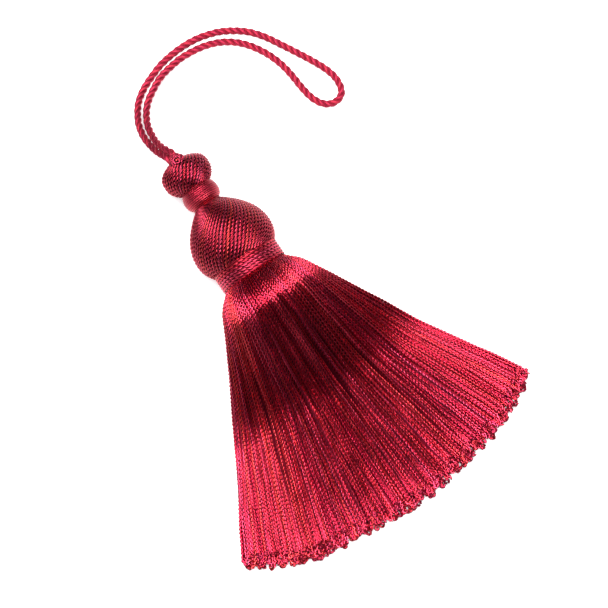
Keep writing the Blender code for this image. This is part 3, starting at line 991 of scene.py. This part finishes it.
pieces.append(
    skirt_cords(
        "skirt_lower_cords",
        lower_angle,
        lower_ring.astype(float),
        np.full(LOWER_CORDS, RING_PITCH),
        np.full(LOWER_CORDS, FLOOR_HEIGHT),
        steps=5,
        profile=BLADE,
        seed=30,
        sway=0.0003,
        curl=0.0006,
    )
)


# Hem: there the cords are turned back and knotted, so small loops of them lie over one another.
HEM_LOOPS = 390
LOOP_BAND = (-0.0004, 0.0048)  # how far short of the hem line their middles lie
LOOP_HEIGHTS = (0.0012, 0.0036)
LOOP_SIZES = (0.0005, 0.0009)  # radii
LOOP_SWEEP = 1.8 * np.pi
LOOP_STATIONS = 11
LOOP_THICKNESS = 0.46  # half the section's width, over a cord's diameter

# To the eye the knots are duller and darker than the cords, and speckled, as their fibres lie every way.
knot_look = silk(
    "knotted_cord_ends",
    ("#B83038", "#901428", "#A82440", "#9C2444"),
    # painted shade, which reaches only the closed ends of the loops
    "#3A0618",
    roughness=0.45,
    sheen=0.0,
    streak_scale=2.5,
    relief=0.00005,
    straight=0.3,
    aligned=0.6,
    lustre=0.9,
)


def hem_loops(name, count, seed):
    """Arcs of cord strewn over the last millimetres before the hem line, each tilted at random."""
    rng = np.random.default_rng(seed)
    direction = FAN_ANGLE * rng.uniform(-0.985, 0.985, count)
    hem_reach = np.interp(direction / FAN_ANGLE, HEM_LINE[:, 0], HEM_LINE[:, 1])
    reach = hem_reach - rng.uniform(*LOOP_BAND, count)
    middle = np.stack(
        [
            reach * np.sin(direction),
            TOP_Y - COLLAR_END + FAN_CENTRE - reach * np.cos(direction),
            rng.uniform(*LOOP_HEIGHTS, count),
        ],
        axis=1,
    )
    heading = rng.uniform(0, 2 * np.pi, count)
    tilt = rng.uniform(-0.9, 0.9, count)
    level = np.stack([np.cos(heading), np.sin(heading), 0 * heading], axis=1)
    steep = np.stack([-np.sin(heading) * np.cos(tilt), np.cos(heading) * np.cos(tilt), np.sin(tilt)], axis=1)
    sweep = rng.uniform(0, 2 * np.pi, count)[:, None] + np.linspace(0, LOOP_SWEEP, LOOP_STATIONS)[None, :]
    size = rng.uniform(*LOOP_SIZES, count)[:, None, None]
    arc = np.cos(sweep)[..., None] * level[:, None] + np.sin(sweep)[..., None] * steep[:, None]
    paths = middle[:, None] + size * arc
    paths[..., 2] = np.maximum(paths[..., 2], FLOOR_HEIGHT)
    turn = 2 * np.pi * run_along(paths) / SKIRT_LAY + rng.uniform(0, np.pi, (count, 1))
    thickness = np.full(turn.shape, SKIRT_DIAMETER * LOOP_THICKNESS)
    grown = tubes(paths, turn, KNOT, thickness, 0.0, rng.uniform(0, 1, count))
    made = add_surface(name, *grown[:3], knot_look, *grown[3:])
    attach(made, "root")
    return made


pieces.append(hem_loops("skirt_hem_loops", HEM_LOOPS, 32))


# Inner cords: they fill the bundle under those that show. As single cords would never be seen there, they
# # are drawn as one closed body in the skirt's look, which ends just before the hem. Their colour is mixed
# # with the painted shade of the hollows.
CORE_SIDES = 120
CORE_STATIONS = 70
CORE_DEPTH = 0.0021  # of its surface inside the outermost cords, at their roots
CORE_HEM_HEIGHTS = (0.0021, 0.0009)  # upper and lower side
CORE_FLOOR = 0.0006
CORE_STREAKS = 40  # waves round it
core_angle = 2 * np.pi * np.arange(CORE_SIDES) / CORE_SIDES
core = skirt_paths(
    core_angle,
    np.ones(CORE_SIDES),
    np.full(CORE_SIDES, CORE_DEPTH),
    np.where(core_angle < np.pi, *CORE_HEM_HEIGHTS),
    CORE_STATIONS,
    np.random.default_rng(31),
)[:, : CORE_STATIONS - 2]
core[..., 2] = np.maximum(core[..., 2], CORE_FLOOR)
columns = core.shape[1]
around = np.arange(CORE_SIDES)[:, None] * columns
beyond = np.roll(around, -1, axis=0)
station = np.arange(columns - 1)[None, :]
core_quads = np.stack(
    [around + station, beyond + station, beyond + station + 1, around + station + 1], axis=-1
)
ends = CORE_SIDES * columns
around, beyond = around[:, 0], beyond[:, 0]
root_fan = np.stack([np.full(CORE_SIDES, ends), beyond, around], axis=-1)
hem_fan = np.stack([np.full(CORE_SIDES, ends + 1), around + columns - 1, beyond + columns - 1], axis=-1)
core_ends = np.stack([core[:, 0].mean(axis=0), core[:, -1].mean(axis=0)])
core_points = np.concatenate([core.reshape(-1, 3), core_ends])
run = run_along(core)
streaks = np.sin(CORE_STREAKS * core_angle)[:, None] + 0 * run
core_fibre = np.stack([run / FIBRE_LENGTH, streaks, 0 * run], axis=-1)
core_piece = add_surface(
    "skirt_inner_cords",
    core_points,
    core_quads.reshape(-1, 4),
    np.concatenate([root_fan, hem_fan]),
    skirt_look,
    np.full(len(core_points), 0.4),
    # crown of one half: painted shade, as the inner cords lie in shade
    np.full(len(core_points), 0.5),
    np.concatenate([core_fibre.reshape(-1, 3), np.zeros((2, 3))]),
    np.concatenate([unit(np.gradient(core, axis=1)).reshape(-1, 3), np.eye(3)[1:]]),
)
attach(core_piece, "root")
pieces.append(core_piece)
for piece in pieces:
    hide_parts("skirt")


# Table and light: a plain white table under one large soft light almost overhead, a little beyond the
# tassel's head, in a dim and faintly violet surrounding.
TABLE_HALF_WIDTH = 1.5
KEY_AZIMUTH = math.radians(70)  # from +X towards +Y
KEY_ELEVATION = math.radians(83)
KEY_DISTANCE = 1.3
KEY_SIZE = 0.80
KEY_POWER = 33.5

# To the eye the table is clean matt white paper, with a glow of its own that leaves only faint shadows.
table_look = bpy.data.materials.new("matt_white_table")
table_look.use_nodes = True
paper = table_look.node_tree.nodes["Principled BSDF"].inputs
paper["Base Color"].default_value = linear("#F4F4F4")
paper["Roughness"].default_value = 0.8
paper["Emission Color"].default_value = linear("#FFFFFF")
paper["Emission Strength"].default_value = 0.45
table_mesh = bpy.data.meshes.new("table")
half = TABLE_HALF_WIDTH
table_mesh.from_pydata(
    [(-half, -half, 0), (half, -half, 0), (half, half, 0), (-half, half, 0)], [], [(0, 1, 2, 3)]
)
table_mesh.materials.append(table_look)
table = bpy.data.objects.new("table", table_mesh)
scene.collection.objects.link(table)

world = bpy.data.worlds.new("pale_surrounding")
world.use_nodes = True
world.node_tree.nodes["Background"].inputs["Color"].default_value = linear("#CCBCFF")
world.node_tree.nodes["Background"].inputs["Strength"].default_value = 0.04
scene.world = world

key_data = bpy.data.lights.new("key", "AREA")
key_data.shape = "DISK"
key_data.size = KEY_SIZE
key_data.energy = KEY_POWER
level = math.cos(KEY_ELEVATION)
towards = Vector(
    (math.cos(KEY_AZIMUTH) * level, math.sin(KEY_AZIMUTH) * level, math.sin(KEY_ELEVATION))
)
key = bpy.data.objects.new("key", key_data)
key.location = Vector((0, 0, 0.01)) + towards * KEY_DISTANCE
key.rotation_euler = (-towards).to_track_quat("-Z", "Y").to_euler()
scene.collection.objects.link(key)
